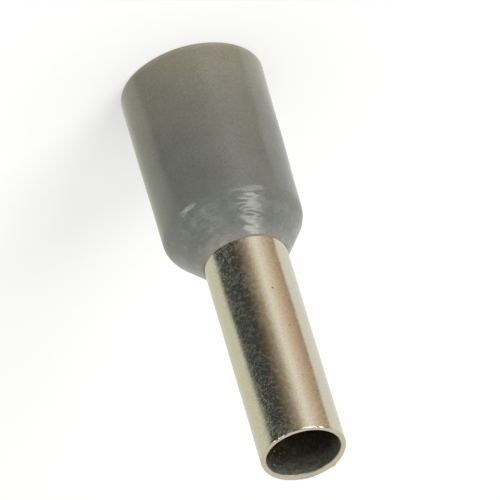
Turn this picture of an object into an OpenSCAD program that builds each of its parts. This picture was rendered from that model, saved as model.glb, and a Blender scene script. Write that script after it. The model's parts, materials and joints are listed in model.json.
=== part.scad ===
// Insulated wire ferrule: a plated copper tube, flared at its inner end and pressed into a moulded
// plastic collar. It stands on the collar's mouth. Z is its axis, and the origin is the centre of
// the mouth. All lengths are in millimetres.

/* [Tube] */
// Inside diameter of the tube, which takes the bared conductor
tube_bore_d = 2.8; // [1.6:0.1:3.6]
// Thickness of the tube's wall
tube_wall = 0.2; // [0.1:0.05:0.35]
// Length of tube that stands out of the collar
tube_reach = 8.65; // [6:0.05:18]
// Rounding of the edges of the tube's cut end
tube_edge_r = 0.05; // [0.01:0.01:0.09]
// Radius of the bend between the tube and its flare, on the collar's side
flare_bend_r = 0.3; // [0.1:0.05:0.6]

/* [Collar] */
// Inside diameter of the collar, which takes the wire's insulation
collar_bore_d = 4.8; // [4.6:0.1:6]
// Thickness of the collar's wall at its mouth
mouth_wall = 0.4; // [0.3:0.05:0.8]
// Rounding of the edges of the mouth
mouth_edge_r = 0.1; // [0.02:0.01:0.14]
// Length of the collar
collar_l = 8.2; // [5:0.1:14]
// Draft of the collar's outside, in degrees from the axis
collar_draft = 0.9; // [0:0.1:1.5]
// Slope of the collar's taper, its funnel and the tube's flare, in degrees from the axis
taper = 37; // [25:1:50]
// Radius of the shoulder between the collar's side and its taper
shoulder_r = 0.8; // [0.3:0.1:2]
// Length of the neck that grips the tube, from its lip to the funnel
grip_l = 0.9; // [0.7:0.05:1.5]
// Thickness of the lip that closes round the tube
lip_wall = 0.05; // [0.04:0.01:0.25]

/* [Fit] */
// Gap all round between the tube and the collar that grips it
seat_gap = 0.02; // [0.01:0.01:0.05]
// Gap between the flare's rim and the collar's wall
rim_gap = 0.15; // [0.05:0.05:0.3]

/* [Hidden] */

// Largest turn of one step along a rounded corner, in degrees
arc_step = 6;
turn_steps = 120;

tube_r = tube_bore_d / 2 + tube_wall;
bore_r = collar_bore_d / 2;
mouth_r = bore_r + mouth_wall;
lip_r = tube_r + seat_gap + lip_wall;
tip_z = collar_l + tube_reach;
rim_r = bore_r - rim_gap;

// Corner where the tube's outside turns into its flare, before it is rounded
bend = [tube_r, collar_l - grip_l];
// Points outwards from the flare's outside, and downwards along it
flare_normal = [cos(taper), sin(taper)];
flare_run = [sin(taper), -cos(taper)];

// Moves the bend's corner away from the tube by w, so that both of its sides stay parallel
function bend_offset(w) = bend + w * [1, tan(taper / 2)];

// Point on the slope of the flare through p, at radius r
function on_flare(p, r) = p + flare_run * (r - p.x) / flare_run.x;

// Corner of the collar's side with its taper, before it is rounded
shoulder_z = (mouth_r - lip_r - collar_l * tan(taper)) / (tan(collar_draft) - tan(taper));
shoulder = [mouth_r - shoulder_z * tan(collar_draft), shoulder_z];

// Points of an arc of radius r that rounds the corner p between its neighbours a and b
function corner_arc(a, p, b, r) =
    let (
        u = (a - p) / norm(a - p),
        v = (b - p) / norm(b - p),
        half = acos(u * v) / 2,
        centre = p + (u + v) / norm(u + v) * r / sin(half),
        start = p + u * r / tan(half) - centre,
        turn = (180 - 2 * half) * sign(u.y * v.x - u.x * v.y),
        steps = ceil(abs(turn) / arc_step)
    )
    [for (i = [0:steps]) let (t = turn * i / steps)
        centre + [start.x * cos(t) - start.y * sin(t), start.x * sin(t) + start.y * cos(t)]];

// Outline through corners of [radius, height, rounding], each rounded by its own arc
function outline(corners) =
    let (n = len(corners), xy = [for (c = corners) [c.x, c.y]])
    [for (i = [0:n - 1]) each corners[i].z > 0
        ? corner_arc(xy[(i + n - 1) % n], xy[i], xy[(i + 1) % n], corners[i].z)
        : [xy[i]]];

function corner(p, r = 0) = [p.x, p.y, r];

// Plated copper tube with a square-cut end and a flare of the same wall
module tube() {
    rim = on_flare(bend, rim_r);
    inner_rim = rim - tube_wall * flare_normal;
    color("silver") rotate_extrude($fn = turn_steps) polygon(outline([
        corner([tube_r, tip_z], tube_edge_r),
        corner(bend, flare_bend_r),
        corner(rim),
        corner(inner_rim),
        corner(bend_offset(-tube_wall), flare_bend_r + tube_wall),
        corner([tube_r - tube_wall, tip_z], tube_edge_r),
    ]));
}

// Moulded collar: drafted outside, rounded shoulder, and a funnel that the flare seats in
module collar() {
    seat = bend_offset(seat_gap);
    color("gray") rotate_extrude($fn = turn_steps) polygon(outline([
        corner([mouth_r, 0], mouth_edge_r),
        corner(shoulder, shoulder_r),
        corner([lip_r, collar_l], lip_wall / 3),
        corner([seat.x, collar_l]),
        corner(seat, flare_bend_r - seat_gap),
        corner(on_flare(seat, bore_r)),
        corner([bore_r, 0], mouth_edge_r),
    ]));
}

tube();
collar();
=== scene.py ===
"""Looks of an insulated wire ferrule: a plated tube held in a moulded collar.

Both pieces are closed surfaces of revolution. An outline of radius against height is carried
round the ferrule's axis, and the unevenness of the real piece is added along the surface's
normal. The ferrule stands on its collar's mouth, as in the frame, and lengths are in metres.
Angles round the axis start at the front, which is -Y, and grow towards +X.
"""
import json
import math

import bpy
import numpy as np
from mathutils import Matrix, Vector


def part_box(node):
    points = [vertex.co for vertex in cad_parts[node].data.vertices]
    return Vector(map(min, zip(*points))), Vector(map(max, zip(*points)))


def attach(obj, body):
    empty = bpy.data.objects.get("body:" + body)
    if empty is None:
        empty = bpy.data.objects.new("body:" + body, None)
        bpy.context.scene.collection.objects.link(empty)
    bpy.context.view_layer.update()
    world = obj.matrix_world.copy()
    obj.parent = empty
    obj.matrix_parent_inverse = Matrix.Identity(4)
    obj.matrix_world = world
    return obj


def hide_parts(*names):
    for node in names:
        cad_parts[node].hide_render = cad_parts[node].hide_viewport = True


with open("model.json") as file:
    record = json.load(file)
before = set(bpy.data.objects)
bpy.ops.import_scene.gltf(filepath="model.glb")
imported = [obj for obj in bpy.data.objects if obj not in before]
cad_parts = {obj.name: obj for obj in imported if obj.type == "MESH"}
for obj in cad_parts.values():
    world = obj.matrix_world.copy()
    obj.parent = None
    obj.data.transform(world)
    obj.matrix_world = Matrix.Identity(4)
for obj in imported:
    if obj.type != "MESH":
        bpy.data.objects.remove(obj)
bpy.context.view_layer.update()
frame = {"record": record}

MM = 0.001

# ---- sizes that the frame gives ----
DIMS = {mount["name"]: mount["dims"] for mount in frame["record"]["mounts"]}
BORE_R = DIMS["conductor_bore"]["r_mm"] * MM
SLEEVE_R = DIMS["insulation_bore"]["r_mm"] * MM
FLARE_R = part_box("tube")[1].x
TIP_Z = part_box("tube")[1].z
MOUTH_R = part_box("collar")[1].x
NECK_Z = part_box("collar")[1].z

# ---- sizes within those, as the solids have them ----
TUBE_WALL = 0.2 * MM
TIP_EDGE_R = 0.05 * MM
BEND_R = 0.3 * MM
GRIP_L = 0.9 * MM
TAPER = math.radians(37)
DRAFT = math.radians(0.9)
SHOULDER_R = 0.8 * MM
MOUTH_EDGE_R = 0.06 * MM
LIP_WALL = 0.05 * MM
LIP_GAP = 0.02 * MM
SEAT_GAP = 0.003 * MM
TUBE_R = BORE_R + TUBE_WALL
LIP_R = TUBE_R + LIP_GAP + LIP_WALL

# ---- mesh: the turn between an arc's points, and the steps round the axis ----
ARC_STEP = math.radians(6)
TURNS = 400


# ---------------------------------------------------------------- outlines

def arc_at(corner, before, after, radius):
    """Points of the arc of that radius that touches both sides of a corner.

    Its centre lies on the corner's bisector, radius / sin(half the angle) away, and its points
    turn round that centre from one tangent point to the other.
    """
    u = (before - corner) / np.linalg.norm(before - corner)
    v = (after - corner) / np.linalg.norm(after - corner)
    half = math.acos(np.clip(u @ v, -1, 1)) / 2
    centre = corner + (u + v) / np.linalg.norm(u + v) * radius / math.sin(half)
    start = corner + u * radius / math.tan(half) - centre
    turn = (math.pi - 2 * half) * np.sign(u[1] * v[0] - u[0] * v[1])
    t = np.linspace(0, turn, 2 + int(abs(turn) / ARC_STEP))
    return centre + np.stack([
        start[0] * np.cos(t) - start[1] * np.sin(t),
        start[0] * np.sin(t) + start[1] * np.cos(t),
    ], axis=1)


def outline(corners):
    """Closed outline through corners of (radius, height, rounding)."""
    corners = np.array(corners, float)
    points = corners[:, :2]
    pieces = [
        arc_at(point, before, after, rounding) if rounding > 0 else point[None]
        for point, before, after, rounding in zip(
            points, np.roll(points, 1, axis=0), np.roll(points, -1, axis=0), corners[:, 2])
    ]
    return np.concatenate(pieces)


def respaced(points, spacing):
    """The closed outline with new points, whose distance apart follows spacing(radius, height).

    Length divided by spacing is summed along a dense copy of the outline, and the new points
    lie at equal steps of that sum.
    """
    closed = np.vstack([points, points[:1]])
    length = np.r_[0, np.cumsum(np.linalg.norm(np.diff(closed, axis=0), axis=1))]
    dense = np.linspace(0, length[-1], 20001)
    r, z = (np.interp(dense, length, closed[:, k]) for k in (0, 1))
    share = np.r_[0, np.cumsum(np.diff(dense) / spacing(r[1:], z[1:]))]
    steps = np.linspace(0, share[-1], int(math.ceil(share[-1])) + 1)[:-1]
    return np.stack([np.interp(steps, share, r), np.interp(steps, share, z)], axis=1)


def tube_outline():
    """Tube with a square-cut tip above and, below, a flare of the same wall."""
    bend = np.array([TUBE_R, NECK_Z - GRIP_L])
    run = np.array([math.sin(TAPER), -math.cos(TAPER)])
    across = np.array([math.cos(TAPER), math.sin(TAPER)])
    rim = bend + run * (FLARE_R - bend[0]) / run[0]
    inner_rim = rim - TUBE_WALL * across
    inner_bend = bend - TUBE_WALL * np.array([1, math.tan(TAPER / 2)])
    return outline([
        (TUBE_R, TIP_Z, TIP_EDGE_R),
        (*bend, BEND_R),
        (*rim, 0),
        (*inner_rim, 0),
        (*inner_bend, BEND_R + TUBE_WALL),
        (BORE_R, TIP_Z, TIP_EDGE_R),
    ])


def shoulder_corner():
    """Where the collar's drafted side would meet its taper: r = MOUTH_R - z tan(DRAFT) on the
    side, and r = LIP_R + (NECK_Z - z) tan(TAPER) on the taper."""
    z = (LIP_R + NECK_Z * math.tan(TAPER) - MOUTH_R) / (math.tan(TAPER) - math.tan(DRAFT))
    return np.array([MOUTH_R - z * math.tan(DRAFT), z])


def collar_outline():
    """Collar with a drafted side, a round shoulder, a thin lip and a funnel inside."""
    seat = np.array([TUBE_R, NECK_Z - GRIP_L]) + SEAT_GAP * np.array([1, math.tan(TAPER / 2)])
    funnel_z = seat[1] - (SLEEVE_R - seat[0]) / math.tan(TAPER)
    return outline([
        (MOUTH_R, 0, MOUTH_EDGE_R),
        (*shoulder_corner(), SHOULDER_R),
        (LIP_R, NECK_Z - LIP_WALL / 2, LIP_WALL / 2),
        (seat[0], NECK_Z + LIP_WALL / 2, 0),
        (*seat, BEND_R - SEAT_GAP),
        (SLEEVE_R, funnel_z, 0),
        (SLEEVE_R, 0, MOUTH_EDGE_R),
    ][::-1])


# ---------------------------------------------------------------- surfaces

def smooth(value, low, high):
    """0 below low, 1 above high, and 3t^2 - 2t^3 between."""
    t = np.clip((value - low) / (high - low), 0, 1)
    return t * t * (3 - 2 * t)


def waves(angle, height, seed, count, turns, lengths):
    """Soft random unevenness with a spread of 1: a sum of cosines of (m angle + k height + phase),
    with whole numbers of waves m round the axis, from turns, and wavelengths along it, from
    lengths."""
    rng = np.random.default_rng(seed)
    m = rng.integers(turns[0], turns[1] + 1, count) * rng.choice([-1, 1], count)
    k = 2 * math.pi / rng.uniform(lengths[0], lengths[1], count)
    phase = rng.uniform(0, 2 * math.pi, count)
    total = np.zeros(np.broadcast(angle, height).shape)
    for one_m, one_k, one_phase in zip(m, k, phase):
        total += np.cos(one_m * angle + one_k * height + one_phase)
    return total / math.sqrt(count / 2)


def revolve(points):
    """Grid of an outline carried round the axis: x = r sin(a), y = -r cos(a), z = height.

    Returns the angle, radius and height of each grid point, a row for each outline point.
    """
    angle = np.linspace(0, 2 * math.pi, TURNS, endpoint=False)[None, :]
    radius, height = points[:, :1], points[:, 1:]
    return np.broadcast_arrays(angle, radius, height)


def outward(points):
    """Unit normals (radial, axial) of a closed outline: its chord over two steps, turned left."""
    chord = np.roll(points, -1, axis=0) - np.roll(points, 1, axis=0)
    normal = np.stack([-chord[:, 1], chord[:, 0]], axis=1)
    return normal / np.linalg.norm(normal, axis=1)[:, None]


def closed_mesh(name, angle, radius, height, lean):
    """Mesh of the grid, closed both ways, with faces that point outwards.

    lean is how far each ring is off the axis along +X.
    """
    co = np.stack([radius * np.sin(angle) + lean, -radius * np.cos(angle), height], axis=-1)
    rows, columns = angle.shape
    index = np.arange(rows * columns).reshape(rows, columns)
    down, round_ = np.roll(index, -1, axis=0), np.roll(index, -1, axis=1)
    both = np.roll(down, -1, axis=1)
    faces = np.stack([index, down, both, round_], axis=-1).reshape(-1, 4)
    mesh = bpy.data.meshes.new(name)
    mesh.vertices.add(rows * columns)
    mesh.vertices.foreach_set("co", co.astype(np.float32).ravel())
    mesh.loops.add(faces.size)
    mesh.loops.foreach_set("vertex_index", faces.astype(np.int32).ravel())
    mesh.polygons.add(len(faces))
    mesh.polygons.foreach_set("loop_start", np.arange(0, faces.size, 4, dtype=np.int32))
    mesh.polygons.foreach_set("use_smooth", np.ones(len(faces), bool))
    mesh.update(calc_edges=True)
    piece = bpy.data.objects.new(name, mesh)
    bpy.context.scene.collection.objects.link(piece)
    return piece


# ---------------------------------------------------------------- the two pieces

# the tube sits this far off the mouth's axis along +X, and the collar's shoulder this far
TUBE_LEAN = -0.065 * MM
SHOULDER_LEAN = 0.044 * MM
# the tip is cut askew, so that its far side stands higher by this much
TIP_SLANT = 0.11 * MM
# and the cut drags the outer edge of the far side up and outwards by this much
RIM_DRAG = 0.06 * MM
# burrs on the cut rim: (angle in degrees, half width in degrees, height)
BURRS = (
    (30, 9, 0.05 * MM),
    (19, 4, 0.03 * MM),
    (-27, 3, 0.035 * MM),
    (-36, 2.5, 0.025 * MM),
    (-145, 5, 0.03 * MM),
    (178, 12, 0.02 * MM),
)


def make_collar():
    """Moulded collar: rippled shoulder and taper, faintly wavy side, smooth inside."""
    shoulder_z = shoulder_corner()[1]

    def spacing(r, z):
        outside = r > np.minimum(SLEEVE_R, LIP_R - 0.01 * MM + (NECK_Z - z) * math.tan(TAPER) / 2)
        away = np.where(outside, shoulder_z - 0.5 * MM - z, 2 * MM)
        away = np.minimum(away, z - 2 * MOUTH_EDGE_R)
        even = np.interp(away, [0, 0.5 * MM], [0.026 * MM, 0.18 * MM])
        lip = np.hypot(r - TUBE_R, z - NECK_Z)
        return np.minimum(even, np.interp(lip, [0, 0.4 * MM], [0.004 * MM, 0.18 * MM]))

    points = respaced(collar_outline(), spacing)
    angle, radius, height = revolve(points)
    normal = outward(points)
    outside = (normal[:, :1] > 0.05) * smooth(radius, LIP_R - 0.01 * MM, LIP_R + 0.06 * MM)
    ripple = smooth(height, shoulder_z - 0.35 * MM, shoulder_z + 0.1 * MM) * outside
    ripple = ripple * (1 - 0.7 * smooth(height, NECK_Z - 0.4 * MM, NECK_Z))
    ripple = ripple * (0.25 + 0.75 * smooth(np.cos(angle), 0.45, 0.85))
    bump = 0.0055 * MM * ripple * waves(
        angle, height, seed=4, count=60, turns=(2, 18), lengths=(0.19 * MM, 0.34 * MM))
    bump += 0.0009 * MM * ripple * waves(
        angle, height, seed=5, count=50, turns=(6, 36), lengths=(0.12 * MM, 0.2 * MM))
    bump += 0.006 * MM * outside * waves(
        angle, height, seed=9, count=12, turns=(2, 6), lengths=(3 * MM, 9 * MM))
    radius = radius + bump * normal[:, :1]
    height = height + bump * normal[:, 1:]
    # the grip keeps round the tube while the outside leans the other way, and both meet at the lip
    grip_z = NECK_Z - GRIP_L
    outer = SHOULDER_LEAN * np.clip(height / shoulder_z, 0, 1)
    outer += (TUBE_LEAN - SHOULDER_LEAN) * smooth(height, shoulder_z - 0.1 * MM, NECK_Z)
    inner = TUBE_LEAN * smooth(height, 1.5 * MM, grip_z - 2 * MM)
    lean = np.where(normal[:, :1] > 0, outer, inner)
    return closed_mesh("collar_skin", angle, radius, height, lean)


def make_tube():
    """Plated tube: faintly uneven wall, and a rim cut askew, with burrs on its outer edge."""

    def spacing(r, z):
        tip = z > TIP_Z - 0.3 * MM
        outer = r > TUBE_R - 0.01 * MM
        return np.where(tip, 0.02 * MM, np.where(outer & (z > NECK_Z), 0.09 * MM, 0.16 * MM))

    points = respaced(tube_outline(), spacing)
    angle, radius, height = revolve(points)
    normal = outward(points)
    free = smooth(height, NECK_Z, NECK_Z + 1.5 * MM)
    bump = 0.002 * MM * free * waves(
        angle, height, seed=12, count=14, turns=(2, 7), lengths=(3 * MM, 9 * MM))
    burr = np.zeros(angle.shape)
    for at, half_width, tall in BURRS:
        away = np.angle(np.exp(1j * (angle - math.radians(at))))
        burr += tall * np.exp(-(away / math.radians(half_width)) ** 2)
    burr *= 1 + 0.35 * waves(angle, height * 0, seed=3, count=12, turns=(40, 120), lengths=(1, 2))
    edge = smooth(radius, TUBE_R - 0.09 * MM, TUBE_R) * smooth(height, TIP_Z - 0.1 * MM, TIP_Z)
    at_tip = smooth(height, TIP_Z - 1.5 * MM, TIP_Z)
    drag = RIM_DRAG * smooth(-np.cos(angle), 0.1, 1)
    radius = radius + bump * normal[:, :1] + (0.4 * burr + drag) * edge
    height = height + bump * normal[:, 1:] + (burr + drag) * edge
    height = height + TIP_SLANT * at_tip * (0.3 - np.cos(angle)) / 2
    return closed_mesh("tube_skin", angle, radius, height, TUBE_LEAN)


# pits in the plate: (angle in degrees, height, how dark)
PITS = (
    (-32.5, TIP_Z - 4.57 * MM, 0.6),
    (-24.5, TIP_Z - 6.27 * MM, 0.8),
    (-30, TIP_Z - 2.37 * MM, 0.35),
)
# painted glints in the bore, bright specks that stand in for light caught on bits of burr: centre of
# the speckled patch of its wall, (angle in degrees, height)
PAINTED_GLINT_PATCH = (133, TIP_Z - 0.65 * MM)


# ---------------------------------------------------------------- materials

def direction(angle, elevation):
    """Unit vector at that angle round the axis from the front, towards +X, and elevation."""
    a, e = math.radians(angle), math.radians(elevation)
    return Vector((math.sin(a) * math.cos(e), -math.cos(a) * math.cos(e), math.sin(e)))


class Nodes:
    """A node tree, with methods that add a node and set or link its inputs."""

    def __init__(self, name):
        self.material = bpy.data.materials.new(name)
        self.material.use_nodes = True
        self.tree = self.material.node_tree
        self.tree.nodes.clear()

    @classmethod
    def on(cls, tree):
        """The same methods for a node tree that is there already."""
        self = cls.__new__(cls)
        self.tree = tree
        tree.nodes.clear()
        return self

    def put(self, socket, value):
        """Link another node's output to a socket, or set the socket's own value."""
        if isinstance(value, bpy.types.NodeSocket):
            self.tree.links.new(value, socket)
        else:
            socket.default_value = value

    def add(self, kind, settings=None, **inputs):
        """New node with those settings, and inputs by name, with _ for a space."""
        node = self.tree.nodes.new(kind)
        for key, value in (settings or {}).items():
            setattr(node, key, value)
        for key, value in inputs.items():
            self.put(node.inputs[key.replace("_", " ")], value)
        return node

    def math(self, operation, *values):
        """Result of a maths node on sockets or numbers."""
        node = self.add("ShaderNodeMath", {"operation": operation})
        for socket, value in zip(node.inputs, values):
            self.put(socket, value)
        return node.outputs[0]

    def vector(self, operation, *values, result="Vector", **inputs):
        """Result of a vector maths node on sockets, vectors or numbers."""
        node = self.add("ShaderNodeVectorMath", {"operation": operation}, **inputs)
        for socket, value in zip(node.inputs, values):
            self.put(socket, value)
        return node.outputs[result]

    def noise(self, place, scale, detail):
        """Noise from 0 to 1 with that many features a metre."""
        return self.add("ShaderNodeTexNoise", Vector=place, Scale=scale, Detail=detail).outputs["Fac"]

    def spread(self, value, low, high):
        """0 at low, 1 at high, smooth between and level beyond."""
        node = self.add("ShaderNodeMapRange", {"interpolation_type": "SMOOTHSTEP"}, Value=value)
        node.inputs["From Min"].default_value = low
        node.inputs["From Max"].default_value = high
        return node.outputs["Result"]

    def near(self, place, centre, full, gone):
        """1 within the first distance of a centre, 0 beyond the second."""
        away = self.vector("DISTANCE", place, centre, result="Value")
        return self.spread(away, gone, full)

    def blend(self, share, first, second):
        """Colour between first and second."""
        node = self.add("ShaderNodeMix", {"data_type": "RGBA"}, Factor=share)
        # the colour sockets come after those for numbers and vectors, which share their names
        self.put(node.inputs[6], first)
        self.put(node.inputs[7], second)
        return node.outputs[2]

    def ramp(self, value, stops):
        """Colour at a value from 0 to 1, through stops of (value, colour)."""
        node = self.add("ShaderNodeValToRGB", Fac=value)
        elements = node.color_ramp.elements
        elements[0].position, elements[1].position = stops[0][0], stops[-1][0]
        elements[0].color, elements[1].color = (*stops[0][1], 1), (*stops[-1][1], 1)
        for at, colour in stops[1:-1]:
            elements.new(at).color = (*colour, 1)
        return node.outputs["Color"]


# Colours of the plate: two tones that cloud into each other, the copper that shows in the cut
# face, the pits, and the bore, darker deep inside as painted shade and paler at the tip, with bright
# specks as painted glints
PLATE_TONES = (0.72, 0.68, 0.545, 1), (0.685, 0.635, 0.495, 1)
CUT_TONE = (0.55, 0.49, 0.34, 1)
PIT_TONE = (0.2, 0.14, 0.08, 1)
# painted shade: the first bore tone, for deep inside, is darker to stand in for the shade there
BORE_TONES_AND_PAINTED_SHADE = (0.19, 0.165, 0.10, 1), (0.50, 0.50, 0.41, 1)
# painted glints: the bright tone of the specks in the bore
PAINTED_GLINT_TONE = (1.0, 0.95, 0.75, 1)
PLATE_ROUGH = 0.125
BORE_ROUGH = 0.5


def plate_marks(n, place, cloud, grain):
    """Share of the plate that is marked: flecks and fine slanted scratches, more of both towards
    the tip and the neck than between them."""
    fleck = n.spread(n.math("MULTIPLY_ADD", cloud, 0.4, grain), 0.60, 0.87)
    slanted = n.add("ShaderNodeMapping", Vector=place, Rotation=(0, math.radians(38), 0),
                    Scale=(500, 500, 11000)).outputs["Vector"]
    scratch = n.spread(n.noise(slanted, 1.0, 1.0), 0.70, 0.80)
    marks = n.math("MAXIMUM", fleck, n.math("MULTIPLY", scratch, 0.5))
    up = n.add("ShaderNodeSeparateXYZ", Vector=place).outputs["Z"]
    middle, half = (TIP_Z + NECK_Z) / 2, (TIP_Z - NECK_Z) / 2
    from_middle = n.math("ABSOLUTE", n.math("MULTIPLY_ADD", up, 1 / half, -middle / half))
    return n.math("MULTIPLY", marks, n.math("MULTIPLY_ADD", from_middle, 0.55, 0.65))


def plate_pits(n, place):
    """How dark the plate is from its pits: each is a soft round spot on the tube's outside."""
    pits = 0.0
    for angle, height, dark in PITS:
        centre = direction(angle, 0) * TUBE_R + Vector((TUBE_LEAN, 0, height))
        pit = n.math("MULTIPLY", n.near(place, centre, 0.02 * MM, 0.065 * MM), dark)
        pits = n.math("MAXIMUM", pits, pit)
    return pits


def bore_tone_with_painted_shade_and_glints(n, place, up, grain):
    """Dull mottled colour of the bore, darkened deeper in as painted shade and so paler towards the
    tip, with a patch of bright specks as painted glints.
    """
    # painted shade: the bore's colour darkens deeper in, where less light reaches
    near_tip = n.spread(up, TIP_Z - 0.9 * MM, TIP_Z)
    dull = n.blend(near_tip, *BORE_TONES_AND_PAINTED_SHADE)
    # painted glints: bright specks that stand in for light caught on bits of burr
    centre = direction(PAINTED_GLINT_PATCH[0], 0) * BORE_R + Vector((TUBE_LEAN, 0, PAINTED_GLINT_PATCH[1]))
    speck = n.spread(n.noise(place, 9000.0, 0.0), 0.66, 0.72)
    speck = n.math("MULTIPLY", speck, n.near(place, centre, 0.25 * MM, 0.6 * MM))
    dull = n.blend(speck, dull, PAINTED_GLINT_TONE)
    return n.vector("SCALE", dull, Scale=n.math("MULTIPLY_ADD", grain, 1.2, 0.35))


def metal_material():
    """Dull tin plate: bright, with flecks, hairline scratches, a few pits, and a dull bore with
    painted shade deeper in and painted glints.
    """
    n = Nodes("tin_plate")
    place = n.add("ShaderNodeTexCoord").outputs["Object"]
    up = n.add("ShaderNodeSeparateXYZ", Vector=place).outputs["Z"]
    cloud = n.noise(place, 1500.0, 4.0)
    grain = n.noise(place, 8500.0, 2.5)
    fine = n.noise(place, 15000.0, 1.0)
    marks = plate_marks(n, place, cloud, grain)
    # the bore is where the distance from the tube's axis, with the height taken out, is small
    flat = n.vector("MULTIPLY_ADD", place, (1, 1, 0), (-TUBE_LEAN, 0, 0))
    reach = n.vector("LENGTH", flat, result="Value")
    inside = n.spread(reach, BORE_R + 0.05 * MM, BORE_R + 0.02 * MM)

    tone = n.blend(cloud, *PLATE_TONES)
    tone = n.vector("SCALE", tone, Scale=n.math("MULTIPLY_ADD", fine, 0.32, 0.84))
    cut = n.math("MULTIPLY", n.spread(up, TIP_Z - 0.06 * MM, TIP_Z - 0.02 * MM), 0.75)
    tone = n.blend(cut, tone, CUT_TONE)
    tone = n.blend(inside, tone, bore_tone_with_painted_shade_and_glints(n, place, up, grain))
    tone = n.blend(plate_pits(n, place), tone, PIT_TONE)
    shine = n.math("MULTIPLY_ADD", marks, -0.11, 1.0)
    rough = n.math("MULTIPLY_ADD", marks, 0.06, PLATE_ROUGH)
    rough = n.math("MAXIMUM", rough, n.math("MULTIPLY", inside, BORE_ROUGH))
    bump = n.add("ShaderNodeBump", Height=grain, Strength=1.0, Distance=0.0016 * MM)
    shader = n.add("ShaderNodeBsdfPrincipled", Base_Color=tone, Metallic=shine, Roughness=rough,
                   Normal=bump.outputs["Normal"])
    n.add("ShaderNodeOutputMaterial", Surface=shader.outputs["BSDF"])
    return n.material


# Colours of the plastic at shares of the collar's height, from the mouth up, grey with painted light
# and shade: painted light makes the mouth's edge and the thin sleeve paler as if light came through,
# painted shade keeps the shoulder darkest, and the lip, which thins out to nothing, is paler with
# painted highlight
PLASTIC_TONES_AND_PAINTED_LIGHT = (
    (0.00, (0.42, 0.40, 0.32)),
    (0.01, (0.36, 0.345, 0.27)),
    (0.03, (0.285, 0.270, 0.206)),
    (0.07, (0.265, 0.252, 0.194)),
    (0.25, (0.214, 0.212, 0.173)),
    (0.50, (0.181, 0.184, 0.157)),
    (0.75, (0.178, 0.184, 0.159)),
    (0.90, (0.178, 0.187, 0.166)),
    (0.95, (0.190, 0.197, 0.172)),
    (0.98, (0.250, 0.252, 0.220)),
    (1.00, (0.27, 0.27, 0.24)),
)


def plastic_material():
    """Grey, slightly translucent moulded plastic, glossier on its side than on its shoulder, with
    painted light and shade along its height and paler patches of painted reflection on its shoulder.
    """
    n = Nodes("grey_plastic")
    place = n.add("ShaderNodeTexCoord").outputs["Object"]
    up = n.add("ShaderNodeSeparateXYZ", Vector=place).outputs["Z"]
    share = n.math("DIVIDE", up, NECK_Z)
    grain = n.noise(place, 14000.0, 1.0)
    cloud = n.noise(place, 900.0, 3.0)
    shade = n.math("MULTIPLY_ADD", grain, 0.5, n.math("MULTIPLY_ADD", cloud, 0.3, 0.6))
    # painted reflection: paler patches on the shoulder and the taper
    painted_patch = n.spread(n.noise(place, 2300.0, 0.5), 0.52, 0.66)
    painted_patch = n.math("MULTIPLY", painted_patch, n.spread(share, 0.83, 0.88))
    shade = n.math("MULTIPLY_ADD", painted_patch, 0.16, shade)
    # painted light and shade: the ramp makes the mouth's edge, the sleeve and the lip paler and keeps
    # the shoulder darkest
    tone = n.vector("SCALE", n.ramp(share, PLASTIC_TONES_AND_PAINTED_LIGHT), Scale=shade)
    shoulder = n.spread(share, 0.70, 0.86)
    rough = n.math("MULTIPLY_ADD", shoulder, 0.12, 0.13)
    bump = n.add("ShaderNodeBump", Height=grain, Strength=1.0, Distance=0.0003 * MM)
    shader = n.add(
        "ShaderNodeBsdfPrincipled", Base_Color=tone, Roughness=rough, IOR=1.55,
        Normal=bump.outputs["Normal"], Specular_Tint=(1.0, 0.99, 0.92, 1),
        Sheen_Weight=0.2, Sheen_Roughness=0.4, Sheen_Tint=(1.0, 0.97, 0.68, 1),
        Subsurface_Weight=0.2, Subsurface_Radius=(1.0, 1.0, 0.8), Subsurface_Scale=0.15 * MM)
    n.add("ShaderNodeOutputMaterial", Surface=shader.outputs["BSDF"])
    return n.material


# ---------------------------------------------------------------- floor, surround, lamp, camera

def make_floor():
    """Plain white floor that keeps the ferrule's shadow. Reflections see the surround instead."""
    half = 1.0
    mesh = bpy.data.meshes.new("floor")
    corners = [(-half, -half, 0), (half, -half, 0), (half, half, 0), (-half, half, 0)]
    mesh.from_pydata(corners, [], [(0, 1, 2, 3)])
    floor = bpy.data.objects.new("floor", mesh)
    bpy.context.scene.collection.objects.link(floor)
    floor.visible_glossy = False
    n = Nodes("floor_paper")
    paint = n.add("ShaderNodeBsdfDiffuse", Color=(0.8, 0.8, 0.79, 1))
    seen = n.add("ShaderNodeLightPath").outputs["Is Camera Ray"]
    glow = n.add("ShaderNodeEmission", Color=(1, 1, 1, 1), Strength=n.math("MULTIPLY", seen, 0.33))
    both = n.add("ShaderNodeAddShader")
    n.tree.links.new(paint.outputs[0], both.inputs[0])
    n.tree.links.new(glow.outputs[0], both.inputs[1])
    n.add("ShaderNodeOutputMaterial", Surface=both.outputs[0])
    floor.data.materials.append(n.material)


# What reflections see below the horizon, by the angle round the ferrule in degrees from the
# front: dark to the +X side, brightest at 35 degrees to the -X side, and pale behind
SURROUND = (
    (-180, (0.82, 0.84, 0.83)),
    (-99, (0.82, 0.84, 0.83)),
    (-98, (0.46, 0.35, 0.26)),
    (-89, (0.46, 0.35, 0.26)),
    (-73, (0.61, 0.47, 0.37)),
    (-60, (0.73, 0.61, 0.50)),
    (-47, (0.86, 0.79, 0.74)),
    (-35, (0.93, 0.92, 0.90)),
    (-23, (0.70, 0.65, 0.59)),
    (-11.5, (0.40, 0.335, 0.26)),
    (0, (0.25, 0.21, 0.16)),
    (11.5, (0.13, 0.112, 0.09)),
    (23, (0.072, 0.066, 0.054)),
    (35, (0.05, 0.06, 0.062)),
    (76, (0.06, 0.072, 0.075)),
    (86, (0.73, 0.75, 0.66)),
    (180, (0.75, 0.77, 0.66)),
)


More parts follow.
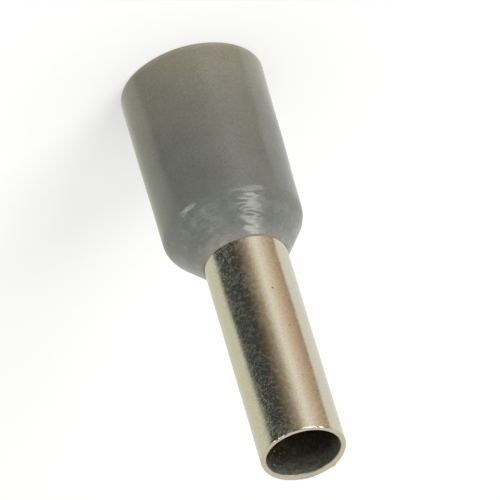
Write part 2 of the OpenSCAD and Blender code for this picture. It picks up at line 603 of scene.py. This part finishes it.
# Above the horizon reflections see this, in front of the ferrule and behind it
ABOVE_FRONT = (0.15, 0.16, 0.17, 1)
ABOVE_BEHIND = (0.87, 0.87, 0.87, 1)
# The surround ends below the horizon, over this range of the direction's height
HORIZON = (-0.4, -0.3)
# The dark side's far edge leans, by this share of the height above its middle
DARK_EDGE_LEAN = 0.7
DARK_EDGE_MIDDLE = -0.51

# Bright strips in the surround, which the shoulder and the taper reflect: angle, half width, and
# lowest and highest elevation in degrees, and strength
STRIPS = (
    (-39, 25, -18, 6, 3.5),
    (57, 13, -17, -4, 5.5),
    (45, 28, 37, 47, 2.0),
)


def light_world(strength):
    """Plain sky of that strength. Reflections see a studio surround in it: the tones round the
    ferrule below the horizon, and above it dark in front and white behind."""
    world = bpy.data.worlds.new("surround")
    bpy.context.scene.world = world
    world.use_nodes = True
    n = Nodes.on(world.node_tree)
    way = n.add("ShaderNodeTexCoord").outputs["Generated"]
    # a radial gradient is 0.5 along +X, so the front is turned there
    turned = n.add("ShaderNodeMapping", Vector=way, Rotation=(0, 0, math.pi / 2)).outputs["Vector"]
    sweep = n.add("ShaderNodeTexGradient", {"gradient_type": "RADIAL"}, Vector=turned)
    split = n.add("ShaderNodeSeparateXYZ", Vector=way)
    lean = n.math("ADD", split.outputs["Z"], -DARK_EDGE_MIDDLE)
    lean = n.math("MULTIPLY", lean, DARK_EDGE_LEAN)
    lean = n.math("MULTIPLY", lean, n.spread(sweep.outputs["Fac"], 0.62, 0.7))
    leaned = n.math("ADD", sweep.outputs["Fac"], lean)
    around = n.ramp(leaned, [(0.5 + at / 360, tone) for at, tone in SURROUND])
    above = n.blend(n.spread(split.outputs["Y"], -0.3, 0.3), ABOVE_FRONT, ABOVE_BEHIND)
    seen = n.blend(n.spread(split.outputs["Z"], *HORIZON), around, above)
    for at, half_width, low, high, level in STRIPS:
        off = n.math("ABSOLUTE", n.math("SUBTRACT", sweep.outputs["Fac"], 0.5 + at / 360))
        across = n.spread(off, (half_width + 3) / 360, (half_width - 3) / 360)
        middle = (math.sin(math.radians(low)) + math.sin(math.radians(high))) / 2
        half_tall = (math.sin(math.radians(high)) - math.sin(math.radians(low))) / 2
        rise = n.math("ABSOLUTE", n.math("SUBTRACT", split.outputs["Z"], middle))
        along = n.spread(rise, half_tall + 0.04, half_tall - 0.04)
        seen = n.blend(n.math("MULTIPLY", across, along), seen, (level, level, level, 1))
    path = n.add("ShaderNodeLightPath")
    tone = n.blend(path.outputs["Is Glossy Ray"], (strength, strength, strength, 1), seen)
    tone = n.blend(path.outputs["Is Camera Ray"], tone, (1, 1, 1, 1))
    sky = n.add("ShaderNodeBackground", Color=tone, Strength=1.0)
    n.add("ShaderNodeOutputWorld", Surface=sky.outputs[0])


def add_lamp(name, angle, elevation, distance, width, tall, watts, aim_z):
    """Oval area lamp at that direction and distance from a point on the axis, turned to it."""
    lamp = bpy.data.lights.new(name, "AREA")
    lamp.shape = "ELLIPSE"
    lamp.size, lamp.size_y = width, tall
    lamp.energy = watts
    piece = bpy.data.objects.new(name, lamp)
    out = direction(angle, elevation)
    piece.location = Vector((0, 0, aim_z)) + out * distance
    piece.rotation_euler = out.to_track_quat("Z", "Y").to_euler()
    bpy.context.scene.collection.objects.link(piece)


def add_camera():
    """Long lens, looking down at the tip from the front, and rolled so that the tip is low."""
    elevation, roll = math.radians(32.53), math.radians(16.77)
    aim = Vector((-0.33, 0, 7.8)) * MM
    distance = 197 * MM
    back = Vector((0, -math.cos(elevation), math.sin(elevation)))
    level_right = Vector((1, 0, 0))
    level_up = back.cross(level_right)
    right = -math.cos(roll) * level_right + math.sin(roll) * level_up
    up = back.cross(right)
    camera = bpy.data.cameras.new("camera")
    camera.lens = 380.3
    camera.sensor_width = 36
    camera.clip_start, camera.clip_end = 0.01, 10
    piece = bpy.data.objects.new("camera", camera)
    turn = Matrix((right, up, back)).transposed().to_4x4()
    piece.matrix_world = Matrix.Translation(aim + back * distance) @ turn
    bpy.context.scene.collection.objects.link(piece)
    bpy.context.scene.camera = piece


# ---------------------------------------------------------------- the scene

PIECES = (
    (make_tube, metal_material, "tube", "plated_tube"),
    (make_collar, plastic_material, "collar", "grey_collar"),
)
for make, material, node, slot in PIECES:
    piece = make()
    piece.data.materials.append(material())
    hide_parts(node)
    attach(piece, "root")

make_floor()
light_world(strength=0.7)
add_lamp("key_lamp", angle=-42, elevation=34, distance=0.3, width=0.16, tall=0.12, watts=0.31,
         aim_z=NECK_Z)
add_camera()
bpy.context.scene.view_settings.view_transform = "Standard"
